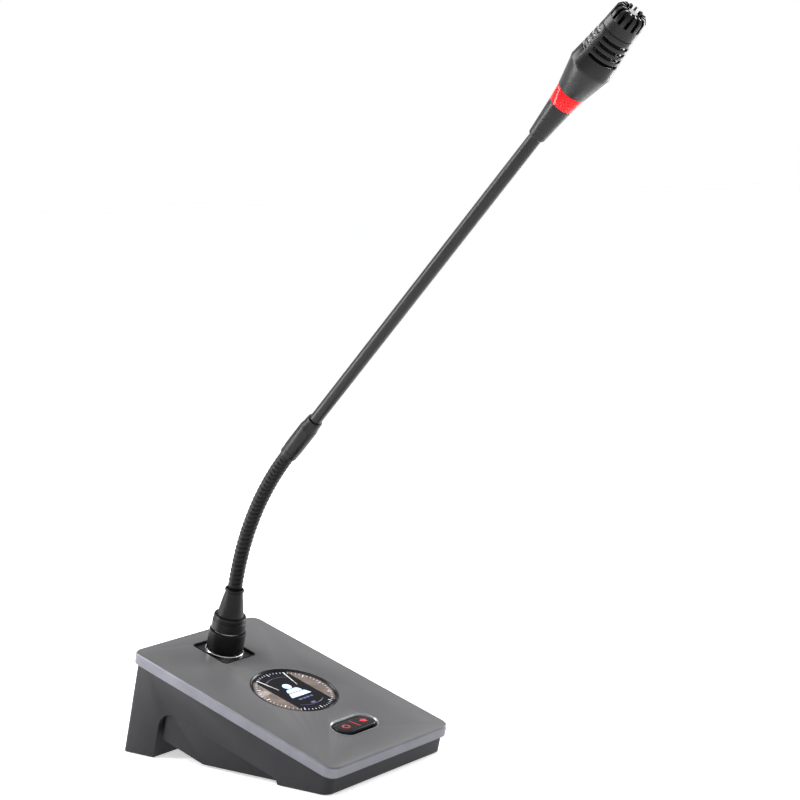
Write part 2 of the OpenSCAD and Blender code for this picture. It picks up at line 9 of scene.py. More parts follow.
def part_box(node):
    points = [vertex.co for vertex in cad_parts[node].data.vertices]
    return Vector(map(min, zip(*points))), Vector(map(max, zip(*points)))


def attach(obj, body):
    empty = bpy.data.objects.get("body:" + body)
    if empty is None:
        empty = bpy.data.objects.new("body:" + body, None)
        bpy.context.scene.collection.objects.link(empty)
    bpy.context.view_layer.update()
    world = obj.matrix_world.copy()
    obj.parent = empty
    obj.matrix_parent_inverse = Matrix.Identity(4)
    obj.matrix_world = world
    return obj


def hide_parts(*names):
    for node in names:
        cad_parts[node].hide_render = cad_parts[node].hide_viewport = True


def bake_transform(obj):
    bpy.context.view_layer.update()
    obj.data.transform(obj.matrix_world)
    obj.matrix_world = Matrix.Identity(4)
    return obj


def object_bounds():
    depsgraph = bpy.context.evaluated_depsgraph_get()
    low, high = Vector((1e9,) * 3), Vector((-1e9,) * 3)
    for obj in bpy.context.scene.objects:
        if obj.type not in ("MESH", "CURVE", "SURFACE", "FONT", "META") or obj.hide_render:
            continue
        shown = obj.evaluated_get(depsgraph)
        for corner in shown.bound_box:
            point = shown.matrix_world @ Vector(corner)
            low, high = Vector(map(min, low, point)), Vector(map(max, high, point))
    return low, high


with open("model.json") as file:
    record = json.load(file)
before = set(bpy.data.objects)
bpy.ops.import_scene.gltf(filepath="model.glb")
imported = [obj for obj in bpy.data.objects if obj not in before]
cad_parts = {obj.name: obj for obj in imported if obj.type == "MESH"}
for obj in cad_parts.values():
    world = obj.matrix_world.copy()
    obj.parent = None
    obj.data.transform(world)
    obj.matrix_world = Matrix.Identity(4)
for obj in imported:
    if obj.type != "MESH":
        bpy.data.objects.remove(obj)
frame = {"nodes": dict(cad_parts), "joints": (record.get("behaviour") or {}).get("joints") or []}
cad_low, cad_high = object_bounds()


# Camera: a long lens a little above the desk, to the left of the speaker's side, with the
# unit's front corner towards it and the microphone rising into the upper right.
camera_place = Vector((-0.8523, -0.7665, 0.3504))
camera_turn = math.radians(-49.78)
camera_rise = math.radians(6.75)
camera_roll = math.radians(-2.75)
towards_camera = Vector((
    math.sin(camera_turn) * math.cos(camera_rise),
    -math.cos(camera_turn) * math.cos(camera_rise),
    math.sin(camera_rise)))
lens = bpy.data.cameras.new("long_lens")
lens.lens = 90.83
lens.sensor_width = 36
camera = bpy.data.objects.new("camera", lens)
camera.location = camera_place
camera.rotation_mode = "QUATERNION"
camera.rotation_quaternion = (
    (-towards_camera).to_track_quat("-Z", "Y") @ Quaternion((0, 0, 1), camera_roll))
bpy.context.scene.collection.objects.link(camera)
bpy.context.scene.camera = camera
bpy.context.scene.view_settings.view_transform = "Standard"


# Floor: a wide sheet of matt white acrylic on a light table, lit a little from below. The
# finish helper here is the one that every moulded, painted or turned surface uses.
mm = 0.001
floor_reach = 15.0


def shade(red, green, blue):
    """A colour given as three values from 0 to 255, as the shader wants it."""
    return tuple((c / 255) ** 2.2 for c in (red, green, blue)) + (1.0,)


def surface(name, light, dark, rough, grain, relief, patch=12 * mm, spread=0.06,
            metal=0.0, coat=0.0, gloss=0.5, stretch=(1, 1, 1), turn=(0, 0, 0)):
    """A finish with two close tones, a fine grain that it is cut or moulded with, and a
    polish that differs a little from place to place. Grain, relief and patch are lengths."""
    finish = bpy.data.materials.new(name)
    finish.use_nodes = True
    tree = finish.node_tree
    shader = tree.nodes["Principled BSDF"]
    shader.inputs["Metallic"].default_value = metal
    shader.inputs["Coat Weight"].default_value = coat
    shader.inputs["Coat Roughness"].default_value = 0.06
    shader.inputs["Specular IOR Level"].default_value = gloss
    place = tree.nodes.new("ShaderNodeTexCoord")
    turned_place = tree.nodes.new("ShaderNodeMapping")
    turned_place.inputs["Rotation"].default_value = turn
    turned_place.inputs["Scale"].default_value = stretch
    fine = tree.nodes.new("ShaderNodeTexNoise")
    fine.inputs["Scale"].default_value = 1 / grain
    fine.inputs["Detail"].default_value = 3
    broad = tree.nodes.new("ShaderNodeTexNoise")
    broad.inputs["Scale"].default_value = 1 / patch
    broad.inputs["Detail"].default_value = 4
    tones = tree.nodes.new("ShaderNodeValToRGB")
    tones.color_ramp.elements[0].position = 0.3
    tones.color_ramp.elements[0].color = dark
    tones.color_ramp.elements[1].position = 0.7
    tones.color_ramp.elements[1].color = light
    blend_noise = tree.nodes.new("ShaderNodeMath")
    blend_noise.operation = "MULTIPLY_ADD"
    blend_noise.inputs[1].default_value = 0.5
    polish = tree.nodes.new("ShaderNodeMapRange")
    polish.inputs["From Min"].default_value = 0.4
    polish.inputs["From Max"].default_value = 1.1
    polish.inputs["To Min"].default_value = max(rough - spread, 0.02)
    polish.inputs["To Max"].default_value = rough + spread
    bump = tree.nodes.new("ShaderNodeBump")
    bump.inputs["Distance"].default_value = relief
    link = tree.links.new
    link(place.outputs["Object"], turned_place.inputs["Vector"])
    link(turned_place.outputs["Vector"], fine.inputs["Vector"])
    link(place.outputs["Object"], broad.inputs["Vector"])
    link(fine.outputs["Fac"], blend_noise.inputs[0])
    link(broad.outputs["Fac"], blend_noise.inputs[2])
    link(broad.outputs["Fac"], tones.inputs["Fac"])
    link(tones.outputs["Color"], shader.inputs["Base Color"])
    link(blend_noise.outputs["Value"], polish.inputs["Value"])
    link(polish.outputs["Result"], shader.inputs["Roughness"])
    link(fine.outputs["Fac"], bump.inputs["Height"])
    link(bump.outputs["Normal"], shader.inputs["Normal"])
    return finish


floor_bm = bmesh.new()
bmesh.ops.create_grid(floor_bm, x_segments=4, y_segments=4, size=floor_reach)
floor_mesh = bpy.data.meshes.new("floor")
floor_bm.to_mesh(floor_mesh)
floor_bm.free()
white_acrylic = surface(
    "white_acrylic", shade(250, 250, 250), shade(246, 246, 247), 0.7, 1.5 * mm, 0.01 * mm,
    patch=0.4, gloss=0.1)
floor_shader = white_acrylic.node_tree.nodes["Principled BSDF"]
floor_shader.inputs["Emission Color"].default_value = (1, 1, 1, 1)
floor_shader.inputs["Emission Strength"].default_value = 0.55
floor_mesh.materials.append(white_acrylic)
floor = bpy.data.objects.new("floor", floor_mesh)
bpy.context.scene.collection.objects.link(floor)


# Light: a bright band of sky all round at the height of the desk, dimmer overhead, and
# four soft boxes: one large above, a tall strip on each side for the round black parts, and
# a small one behind for the band's chamfer.
horizon_top, dim_from = 0.56, 0.70
sky = bpy.data.worlds.new("studio")
bpy.context.scene.world = sky
sky.use_nodes = True
sky_tree = sky.node_tree
direction = sky_tree.nodes.new("ShaderNodeTexCoord")
split = sky_tree.nodes.new("ShaderNodeSeparateXYZ")
height = sky_tree.nodes.new("ShaderNodeMapRange")
height.inputs["From Min"].default_value = -1
sky_ramp = sky_tree.nodes.new("ShaderNodeValToRGB")
sky_ramp.color_ramp.elements[0].position = horizon_top
sky_ramp.color_ramp.elements[0].color = (1, 1, 1, 1)
sky_ramp.color_ramp.elements[1].position = dim_from
sky_ramp.color_ramp.elements[1].color = (0.42, 0.42, 0.43, 1)
sky_tree.links.new(direction.outputs["Generated"], split.inputs["Vector"])
sky_tree.links.new(split.outputs["Z"], height.inputs["Value"])
sky_tree.links.new(height.outputs["Result"], sky_ramp.inputs["Fac"])
sky_tree.links.new(sky_ramp.outputs["Color"], sky_tree.nodes["Background"].inputs["Color"])
sky_tree.nodes["Background"].inputs["Strength"].default_value = 1.0


def soft_box(name, place, aim, width, length, watts):
    """An area light that faces a point."""
    lamp = bpy.data.lights.new(name, "AREA")
    lamp.shape = "RECTANGLE"
    lamp.size, lamp.size_y = width, length
    lamp.energy = watts
    holder = bpy.data.objects.new(name, lamp)
    holder.location = place
    holder.rotation_mode = "QUATERNION"
    holder.rotation_quaternion = (Vector(aim) - Vector(place)).to_track_quat("-Z", "Y")
    bpy.context.scene.collection.objects.link(holder)


soft_box("overhead_box", (-0.2, -0.1, 1.7), (0, 0.05, 0), 1.6, 1.6, 14)
soft_box("left_strip", (-0.55, 0.75, 0.45), (0, 0, 0.22), 0.22, 1.1, 10)
soft_box("right_strip", (0.85, -0.15, 0.4), (0, 0, 0.22), 0.3, 1.1, 9)
soft_box("rim_box", (-0.15, 0.85, 1.0), (0, 0, 0.05), 0.6, 0.3, 5)


# Trim band: an aluminium extrusion bent round the sloping top, satin anodised, with a
# bright chamfer along its upper edge and a ledge inside that the top plate drops into.
nodes = frame["nodes"]
hinges = {joint["name"]: joint for joint in frame["joints"]}
up_slope = Vector(hinges["key_rock"]["axis"])
off_top = Vector(hinges["mic_unplug"]["axis"])
band_points = [vertex.co for vertex in nodes["trim_band"].data.vertices]
front_edge = min(band_points, key=lambda point: point.y)
top_corner = Vector((0, front_edge.y, front_edge.z))
top_length = max((point - top_corner).dot(up_slope) for point in band_points)
top_width = cad_high.x - cad_low.x
top_frame = Matrix.Translation(top_corner) @ Matrix(
    (Vector((1, 0, 0)), up_slope, off_top)).transposed().to_4x4()
slope = math.atan2(up_slope.z, up_slope.y)
corner_r = 7 * mm
band_h = 6.5 * mm
band_t = 2.2 * mm
plate_t = 1.6 * mm
plate_in = 1.0 * mm
chamfer = 0.7 * mm


def corner_steps_loop(bm, width, length, radius, level, steps=10):
    """One loop of edges: a rectangle with rounded corners, centred, at some level."""
    made = bmesh.ops.create_grid(bm, x_segments=1, y_segments=1, size=0.5)["verts"]
    bmesh.ops.transform(
        bm, verts=made, matrix=Matrix.Translation((0, 0, level)) @ Matrix.Diagonal(
            (width, length, 1, 1)))
    rounded = bmesh.ops.bevel(
        bm, geom=made, offset=radius, offset_type="OFFSET", segments=steps, profile=0.5,
        affect="VERTICES", material=-1, clamp_overlap=True)["verts"]
    face = rounded[0].link_faces[0]
    loop = list(face.edges)
    bmesh.ops.delete(bm, geom=[face], context="FACES_ONLY")
    return loop


def framed(bm, width, length, radius, profile, closed, steps=10):
    """Walls round a rounded rectangle: the profile gives each loop's inset and level.
    Returns the first and the last loop."""
    loops = [
        corner_steps_loop(bm, width - 2 * inset, length - 2 * inset,
                          max(radius - inset, 0.4 * mm), level, steps)
        for inset, level in profile]
    pairs = list(zip(loops, loops[1:]))
    if closed:
        pairs.append((loops[-1], loops[0]))
    for lower, upper in pairs:
        bmesh.ops.bridge_loops(bm, edges=lower + upper)
    return loops[0], loops[-1]


def outward(bm):
    """Closes the seams and turns every face to the outside."""
    bmesh.ops.remove_doubles(bm, verts=bm.verts[:], dist=0.002 * mm)
    bmesh.ops.recalc_face_normals(bm, faces=bm.faces[:])


def add_piece(name, bm, finish, body, stands_for=(), edge=0.0, steps=2, angle=28):
    """Makes a piece of a shape: smooth faces with softened edges, its finish, the body it
    rides on, and the CAD nodes that it stands for."""
    mesh = bpy.data.meshes.new(name)
    bm.to_mesh(mesh)
    bm.free()
    mesh.polygons.foreach_set("use_smooth", [True] * len(mesh.polygons))
    mesh.materials.append(finish)
    piece = bpy.data.objects.new(name, mesh)
    bpy.context.scene.collection.objects.link(piece)
    if edge:
        softening = piece.modifiers.new("softened_edges", "BEVEL")
        softening.width = edge
        softening.segments = steps
        softening.limit_method = "ANGLE"
        softening.angle_limit = math.radians(angle)
        softening.harden_normals = True
        softening.use_clamp_overlap = True
    else:
        mesh.set_sharp_from_angle(angle=math.radians(angle))
    if stands_for:
        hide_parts(*stands_for)
    if body:
        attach(piece, body)
    return piece


satin_aluminium = surface(
    "satin_aluminium", shade(112, 112, 119), shade(102, 102, 109), 0.36, 0.25 * mm,
    0.004 * mm, metal=0.55, gloss=0.3, spread=0.05, stretch=(0.08, 1, 1), turn=(-slope, 0, 0))
band_bm = bmesh.new()
framed(band_bm, top_width, top_length, corner_r,
       [(0, -band_h), (0, -chamfer), (chamfer, 0), (plate_in, 0), (plate_in, -plate_t),
        (band_t, -plate_t), (band_t, -band_h)], closed=True, steps=12)
outward(band_bm)
bmesh.ops.transform(
    band_bm, matrix=top_frame @ Matrix.Translation((0, top_length / 2, 0)), verts=band_bm.verts)
add_piece("band", band_bm, satin_aluminium, "desk_unit", ["trim_band"], edge=0.1 * mm)


# Top plate: pressed steel sheet in a baked dark grey paint with a very fine texture, let
# into the band. Its openings are punched, so their edges are slightly drawn over.
def softened_copy(name, node, finish, edge, body="desk_unit", steps=2, angle=28):
    """The node's own shape, merged, with its flat faces joined and its edges rounded."""
    bm = bmesh.new()
    bm.from_mesh(nodes[node].data)
    bmesh.ops.remove_doubles(bm, verts=bm.verts[:], dist=0.002 * mm)
    bmesh.ops.dissolve_limit(
        bm, angle_limit=math.radians(0.6), use_dissolve_boundaries=False,
        verts=bm.verts[:], edges=bm.edges[:], delimit=set())
    return add_piece(name, bm, finish, body, [node], edge, steps, angle)


grey_paint = surface(
    "grey_paint", shade(98, 98, 99), shade(93, 93, 94), 0.4, 0.3 * mm, 0.006 * mm,
    patch=25 * mm, spread=0.04, gloss=0.4)
softened_copy("plate", "top_plate", grey_paint, 0.15 * mm)


# Housing, bottom cover and their feet: charcoal ABS with a spark-eroded grain, one large
# moulding with skirt, front foot and rear leg, a belly tray screwed into it, and two
# rubber strips pressed into pockets underneath.
charcoal_abs = surface(
    "charcoal_abs", shade(36, 36, 39), shade(29, 29, 32), 0.5, 0.45 * mm, 0.02 * mm,
    patch=18 * mm, gloss=0.22)
# The belly tray takes the housing's ABS in a darker tone: painted shade for its place under the unit.
tray_abs_painted_shade = surface(
    "tray_abs_painted_shade", shade(29, 29, 32), shade(23, 23, 26), 0.5, 0.45 * mm, 0.02 * mm,
    patch=18 * mm, gloss=0.2)
foot_rubber = surface(
    "foot_rubber", shade(34, 34, 35), shade(27, 27, 28), 0.82, 0.6 * mm, 0.03 * mm,
    patch=8 * mm, gloss=0.3)
softened_copy("shell", "housing", charcoal_abs, 0.4 * mm)
softened_copy("tray", "bottom_cover", tray_abs_painted_shade, 0.35 * mm)
for foot in ("front_foot", "rear_foot"):
    softened_copy(foot + "_strip", foot, foot_rubber, 0.35 * mm)


# Socket well and ring: a square cup of black nylon set into the plate, and a bright
# plated ring, turned from brass, round the mouth of the socket.
def turned(bm, profile, steps=96, close=True):
    """Turns a profile of radius and height about the Z axis."""
    start = [bm.verts.new((radius, 0, level)) for radius, level in profile]
    edges = [bm.edges.new(pair) for pair in zip(start, start[1:])]
    if close:
        edges.append(bm.edges.new((start[-1], start[0])))
    bmesh.ops.spin(
        bm, geom=start + edges, cent=(0, 0, 0), axis=(0, 0, 1), dvec=(0, 0, 0),
        angle=math.tau, steps=steps, use_merge=True, use_normal_flip=False,
        use_duplicate=False)


def turned_piece(name, profile, place, finish, body, stands_for=(), edge=0.15 * mm,
                 close=True, steps=96, angle=28):
    """A turned part on its own axis, put in its place."""
    bm = bmesh.new()
    turned(bm, [(r * mm, t * mm) for r, t in profile], steps, close)
    outward(bm)
    bmesh.ops.transform(bm, matrix=place, verts=bm.verts)
    return add_piece(name, bm, finish, body, stands_for, edge, angle=angle)


def along_slope(node):
    """How far up the slope the middle of a node is, from the plate's front edge."""
    low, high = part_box(node)
    return ((low + high) / 2 - top_corner).dot(up_slope)


socket_frame = top_frame @ Matrix.Translation((0, along_slope("socket_ring"), 0))
well_nylon = surface(
    "well_nylon", shade(12, 12, 14), shade(8, 8, 10), 0.5, 0.4 * mm, 0.01 * mm,
    patch=6 * mm, gloss=0.08)
ring_chrome = surface(
    "ring_chrome", shade(232, 226, 220), shade(214, 208, 203), 0.12, 0.2 * mm, 0.001 * mm,
    metal=1.0, spread=0.04, patch=5 * mm)
contact_gold = surface(
    "contact_gold", shade(226, 184, 98), shade(206, 164, 84), 0.2, 0.2 * mm, 0.002 * mm,
    metal=1.0, spread=0.06, patch=2 * mm)
socket_nylon = surface(
    "socket_nylon", shade(34, 34, 37), shade(28, 28, 31), 0.42, 0.3 * mm, 0.008 * mm,
    patch=6 * mm)
softened_copy("well", "socket_well", well_nylon, 0.25 * mm)
mouth_r, mouth_wall, mouth_low, mouth_top = 12.0, 0.7, -2.8, 0.7
turned_piece(
    "mouth_ring", [(mouth_r - mouth_wall, mouth_low), (mouth_r, mouth_low), (mouth_r, mouth_top - 0.35),
                   (mouth_r - 0.25, mouth_top), (mouth_r - 0.45, mouth_top),
                   (mouth_r - mouth_wall, mouth_top - 0.3)],
    socket_frame, ring_chrome, "desk_unit", ["socket_ring"], edge=0.08 * mm)
softened_copy("socket_insert", "mic_socket", socket_nylon, 0.15 * mm)
nodes["socket_contacts"].material_slots[0].material = contact_gold


# Display: a thin black bezel ring let into the plate round a disc of dark glass. What it
# shows is flat ink and light under that glass: a dial of ticks, two pale chords, two
# beams, and a speaker behind a lectern.
dial_frame = top_frame @ Matrix.Translation((0, along_slope("display_lens"), 0))
display_r, bezel_wall, bezel_depth = 27.0, 1.4, 3.2
glass_r = display_r - bezel_wall - 0.05
glass_top, glass_bottom = -0.9, -2.1
bezel_black = surface(
    "bezel_black", shade(30, 30, 34), shade(22, 22, 26), 0.26, 0.3 * mm, 0.004 * mm,
    patch=6 * mm, gloss=0.3)
dark_glass = surface(
    "dark_glass", shade(9, 10, 20), shade(5, 6, 13), 0.12, 3 * mm, 0.0005 * mm,
    patch=10 * mm, spread=0.03, gloss=0.22)
turned_piece(
    "bezel", [(display_r - bezel_wall - 1, -bezel_depth), (display_r + 2.5, -bezel_depth),
              (display_r + 2.5, -1.6), (display_r - 0.15, -1.6), (display_r - 0.15, 0),
              (display_r - 0.5, 0), (display_r - bezel_wall, glass_top),
              (display_r - bezel_wall, glass_bottom), (display_r - bezel_wall - 1, glass_bottom)],
    dial_frame, bezel_black, "desk_unit", ["display_bezel"], edge=0.1 * mm, steps=128)
turned_piece(
    "glass", [(0, glass_bottom), (glass_r, glass_bottom), (glass_r, -1.1), (glass_r - 0.25, glass_top),
              (0, glass_top)],
    dial_frame, dark_glass, "desk_unit", ["display_lens"], edge=0.08 * mm, close=False,
    steps=128)


def shown(name, light, dark, glow, patch=3 * mm):
    """Ink or light behind the glass: it glows a little and shares the glass's gloss."""
    finish = surface(name, light, dark, 0.14, 1.5 * mm, 0.0005 * mm, patch=patch, gloss=0.22)
    shader = finish.node_tree.nodes["Principled BSDF"]
    tones = finish.node_tree.nodes["Color Ramp"]
    finish.node_tree.links.new(tones.outputs["Color"], shader.inputs["Emission Color"])
    shader.inputs["Emission Strength"].default_value = glow
    return finish


def flat_shape(bm, outline, level):
    """A flat face from its corners, in millimetres on the dial."""
    bm.faces.new([bm.verts.new((x * mm, y * mm, level * mm)) for x, y in outline])


def arc_points(radius, start, end, steps, centre=(0, 0)):
    """Points on an arc, with its angles in degrees from the dial's right."""
    turns = [math.radians(start + (end - start) * i / steps) for i in range(steps + 1)]
    return [(centre[0] + radius * math.cos(t), centre[1] + radius * math.sin(t)) for t in turns]


def add_print(name, bm, finish, place, body="desk_unit", thick=0.04):
    """Gives flat shapes the thickness of a print and lays them in place."""
    outward(bm)
    for face in bm.faces:
        if face.normal.z < 0:
            face.normal_flip()
    bmesh.ops.transform(bm, matrix=place, verts=bm.verts)
    piece = add_piece(name, bm, finish, body)
    film = piece.modifiers.new("film", "SOLIDIFY")
    film.thickness = thick * mm
    film.offset = 1
    return piece


field_level = glass_top - 0.01
line_level, figure_level = field_level + 0.05, field_level + 0.1
tick_r, field_r, ring_r, chord_x = 23.6, 24.8, 17.8, 14.0
chord_bm = bmesh.new()
chord_turn = math.degrees(math.acos(chord_x / field_r))
for start in (-chord_turn, 180 - chord_turn):
    flat_shape(chord_bm, arc_points(field_r, start, start + 2 * chord_turn, 40), field_level)
add_print("dial_chords", chord_bm, shown(
    "taupe_field", shade(142, 128, 118), shade(108, 96, 90), 0.10, patch=6 * mm), dial_frame)

tick_bm = bmesh.new()
tick_count = 60
for i in range(tick_count):
    long_tick = i % 5 == 0
    inner, half = (tick_r - 2.6, 0.26) if long_tick else (tick_r - 1.3, 0.15)
    across = Matrix.Rotation(math.tau * i / tick_count, 2)
    corners = [(inner, -half), (tick_r, -half), (tick_r, half), (inner, half)]
    flat_shape(tick_bm, [across @ Vector(corner) for corner in corners], line_level)
add_print("dial_ticks", tick_bm, shown(
    "tick_white", shade(226, 232, 242), shade(196, 206, 224), 0.7), dial_frame)

ring_bm = bmesh.new()
for start, end in ((56, 124), (236, 304)):
    flat_shape(ring_bm, arc_points(ring_r, start, end, 32)
               + arc_points(ring_r - 0.5, end, start, 32), line_level)
add_print("dial_arcs", ring_bm, shown(
    "arc_violet", shade(92, 84, 122), shade(74, 68, 104), 0.35), dial_frame)

beam_bm = bmesh.new()
for side in (-1, 1):
    flat_shape(beam_bm, [
        (side * 11.9, 20.4), (side * 11.1, 20.7), (side * 7.8, 5.1), (side * 8.1, 5.0)],
        figure_level)
add_print("dial_beams", beam_bm, shown(
    "beam_white", shade(232, 232, 226), shade(206, 206, 202), 0.6), dial_frame)

speaker_bm = bmesh.new()
flat_shape(speaker_bm, arc_points(2.9, 0, 350, 35, (0, 6.2)), figure_level)
flat_shape(speaker_bm,
           arc_points(3.0, 0, 90, 8, (2.6, -0.2)) + arc_points(3.0, 90, 180, 8, (-2.6, -0.2))
           + [(-5.6, -1.3), (5.6, -1.3)], figure_level)
flat_shape(speaker_bm, [(-8.3, -6.3), (8.3, -6.3), (6.4, -1.9), (-6.4, -1.9)], figure_level)
add_print("dial_speaker", speaker_bm, shown(
    "speaker_blue", shade(196, 224, 255), shade(176, 208, 250), 0.95), dial_frame)

label_bm = bmesh.new()
bar_y, dot_y = -9.5, -15.8
for x, y, half_w, half_h in ((-4.4, bar_y, 1.3, 0.7), (-1.2, bar_y, 1.3, 0.7), (1.9, bar_y, 1.3, 0.7),
                             (4.9, bar_y, 1.1, 0.7), (0, dot_y, 1.6, 0.9)):
    flat_shape(label_bm, [(x - half_w, y - half_h), (x + half_w, y - half_h),
                          (x + half_w, y + half_h), (x - half_w, y + half_h)], figure_level)
add_print("dial_bars", label_bm, shown(
    "bar_violet", shade(112, 112, 156), shade(84, 84, 128), 0.4), dial_frame)


# Key: a two-way rocker of black ABS, crowned and polished by use, in a bright die-cast
# dish. A cross pin carries it, and red light shows through its three markings.
dish_w, dish_l, dish_wall, dish_flange, dish_depth = 35.0, 18.5, 1.1, 1.6, 6.0
key_gap, cap_top = 1.3, 0.5
key_pin = Vector(hinges["key_rock"]["pos_m"])
key_frame = top_frame @ Matrix.Translation((0, (key_pin - top_corner).dot(up_slope), 0))
cap_w, cap_l = (size - 2 * (dish_wall + key_gap) for size in (dish_w, dish_l))
cap_lean = math.tan(math.radians(-9))
dish_cast = surface(
    "dish_cast", shade(168, 170, 173), shade(150, 152, 155), 0.34, 0.35 * mm, 0.006 * mm,
    metal=0.6, patch=5 * mm)
key_black = surface(
    "key_black", shade(20, 20, 22), shade(14, 14, 16), 0.3, 0.35 * mm, 0.006 * mm,
    patch=7 * mm, spread=0.08, gloss=0.25)
dish_bm = bmesh.new()
round_end = 0.998
framed(dish_bm, dish_w * mm, dish_l * mm, dish_l / 2 * round_end * mm,
       [(inset * mm, level * mm) for inset, level in (
           (-dish_flange, -dish_depth), (-dish_flange, -1.6), (0.15, -1.6), (0.15, 0), (0.45, 0),
           (dish_wall, -0.9), (dish_wall, -dish_depth))], closed=True, steps=16)
outward(dish_bm)
bmesh.ops.transform(dish_bm, matrix=key_frame, verts=dish_bm.verts)
add_piece("dish", dish_bm, dish_cast, "desk_unit", ["key_dish"], edge=0.1 * mm)
cap_bm = bmesh.new()
cap_bottom, cap_face = framed(
    cap_bm, cap_w * mm, cap_l * mm, cap_l / 2 * round_end * mm,
    [(inset * mm, level * mm) for inset, level in (
        (0.5, -3), (0, -2.8), (0, -0.5), (0.15, 0), (0.55, 0.33), (1.1, 0.46), (2.2, cap_top))],
    closed=False, steps=16)
for rim in (cap_bottom, cap_face):
    bmesh.ops.contextual_create(cap_bm, geom=rim)
lean = Matrix.Identity(4)
lean[2][1] = cap_lean
bmesh.ops.transform(cap_bm, matrix=lean, verts=cap_bm.verts)
hub = bmesh.ops.create_cube(cap_bm, size=1)["verts"]
bmesh.ops.transform(
    cap_bm, verts=hub,
    matrix=Matrix.Translation((0, 0, -3.9 * mm)) @ Matrix.Diagonal(
        (4.8 * mm, (cap_l - 1) * mm, 3.4 * mm, 1)))
for side in (-1, 1):
    bmesh.ops.create_cone(
        cap_bm, cap_ends=True, segments=24, radius1=1.2 * mm, radius2=1.2 * mm,
        depth=8.2 * mm, matrix=Matrix.Translation((side * 9 * mm, 0, -5.3 * mm)))
outward(cap_bm)
bmesh.ops.transform(cap_bm, matrix=key_frame, verts=cap_bm.verts)
add_piece("rocker", cap_bm, key_black, "key", ["key_cap"], edge=0.12 * mm)

mark_frame = key_frame @ lean
mark_level, mark_x, mark_y = cap_top - 0.01, 7.6, 0.1
star_r, star_inner_r, hexagon_r, hexagon_inner_r = 2.9, 1.3, 2.7, 1.9
mark_red = shown("mark_red", shade(228, 58, 64), shade(206, 44, 50), 0.8)
mark_dim = shown("mark_dim", shade(206, 54, 60), shade(184, 42, 48), 0.6)
star_bm = bmesh.new()
star = []
for i in range(5):
    point_turn = 90 + 72 * i
    star += arc_points(star_r, point_turn, point_turn, 1, (mark_x, mark_y))[:1]
    star += arc_points(star_inner_r, point_turn + 36, point_turn + 36, 1, (mark_x, mark_y))[:1]
flat_shape(star_bm, star, mark_level)
add_print("key_mark_right", star_bm, mark_red, mark_frame, "key")
hexagon_bm = bmesh.new()
for i in range(6):
    side_turn = 60 * i
    outer = arc_points(hexagon_r, side_turn, side_turn + 60, 1, (-mark_x, mark_y))
    inner = arc_points(hexagon_inner_r, side_turn + 60, side_turn, 1, (-mark_x, mark_y))
    flat_shape(hexagon_bm, outer + inner, mark_level)
add_print("key_mark_left", hexagon_bm, mark_dim, mark_frame, "key")
divider_bm = bmesh.new()
flat_shape(divider_bm, [(-0.28, -4.2), (0.28, -4.2), (0.28, 4.4), (-0.28, 4.4)], mark_level)
add_print("key_divider", divider_bm, mark_dim, mark_frame, "key")


# Plug: a nickel-plated shell that goes into the socket, a fluted lock ring that turns on
# it, a ribbed collar, and a rubber boot with a rolled lip that the gooseneck comes out of.
shell_nickel = surface(
    "shell_nickel", shade(176, 176, 180), shade(160, 160, 165), 0.26, 0.2 * mm, 0.002 * mm,
    metal=1.0, patch=6 * mm)
lock_black = surface(
    "lock_black", shade(21, 21, 22), shade(15, 15, 16), 0.38, 0.3 * mm, 0.006 * mm,
    patch=7 * mm, gloss=0.16)
collar_black = surface(
    "collar_black", shade(20, 20, 21), shade(14, 14, 15), 0.36, 0.3 * mm, 0.006 * mm,
    patch=7 * mm, gloss=0.22)
boot_rubber = surface(
    "boot_rubber", shade(21, 21, 22), shade(15, 15, 16), 0.46, 0.4 * mm, 0.01 * mm,
    patch=9 * mm, gloss=0.22)
lock_r, lock_low, lock_high, core_r = 11.35, 1.1, 13.6, 9.18
flute_count, flute_depth = 54, 0.14
softened_copy("plug_shell", "plug_body", shell_nickel, 0.12 * mm, "mic_plug")
nodes["plug_pins"].material_slots[0].material = contact_gold
lock_bm = bmesh.new()
rings = []
for radius, level, fluted in ((lock_r - 0.35, lock_low, 0), (lock_r - 0.1, lock_low + 0.3, 0),
                              (lock_r - 0.05, lock_low + 1.2, 0), (lock_r, lock_low + 1.6, 1),
                              (lock_r, lock_high - 1.8, 1), (lock_r - 0.05, lock_high - 1.4, 0),
                              (lock_r - 0.1, lock_high - 0.3, 0), (lock_r - 0.4, lock_high, 0),
                              (core_r, lock_high, 0), (core_r, lock_low, 0)):
    made = bmesh.ops.create_circle(
        lock_bm, cap_ends=False, segments=flute_count * 3, radius=radius * mm,
        matrix=Matrix.Translation((0, 0, level * mm)))["verts"]
    if fluted:
        for vertex in made[::3]:
            vertex.co.xy *= 1 - flute_depth / lock_r
    rings.append([edge for edge in {e for v in made for e in v.link_edges}])
for lower, upper in zip(rings, rings[1:] + rings[:1]):
    bmesh.ops.bridge_loops(lock_bm, edges=lower + upper)
outward(lock_bm)
bmesh.ops.transform(lock_bm, matrix=socket_frame, verts=lock_bm.verts)
add_piece("lock_collar", lock_bm, lock_black, "lock", ["lock_ring"], angle=40)
turned_piece(
    "collar", [(7.1, 14.4), (10.2, 14.4), (10.45, 14.6), (10.3, 19.9), (10.0, 20.3), (9.75, 20.4),
               (9.75, 21.0), (10.0, 21.1), (10.0, 21.6), (9.75, 21.7), (9.75, 22.2), (10.0, 22.3),
               (9.85, 23.5), (9.6, 23.8), (7.1, 23.8)],
    socket_frame, collar_black, "mic_plug", ["plug_collar"], edge=0.08 * mm)
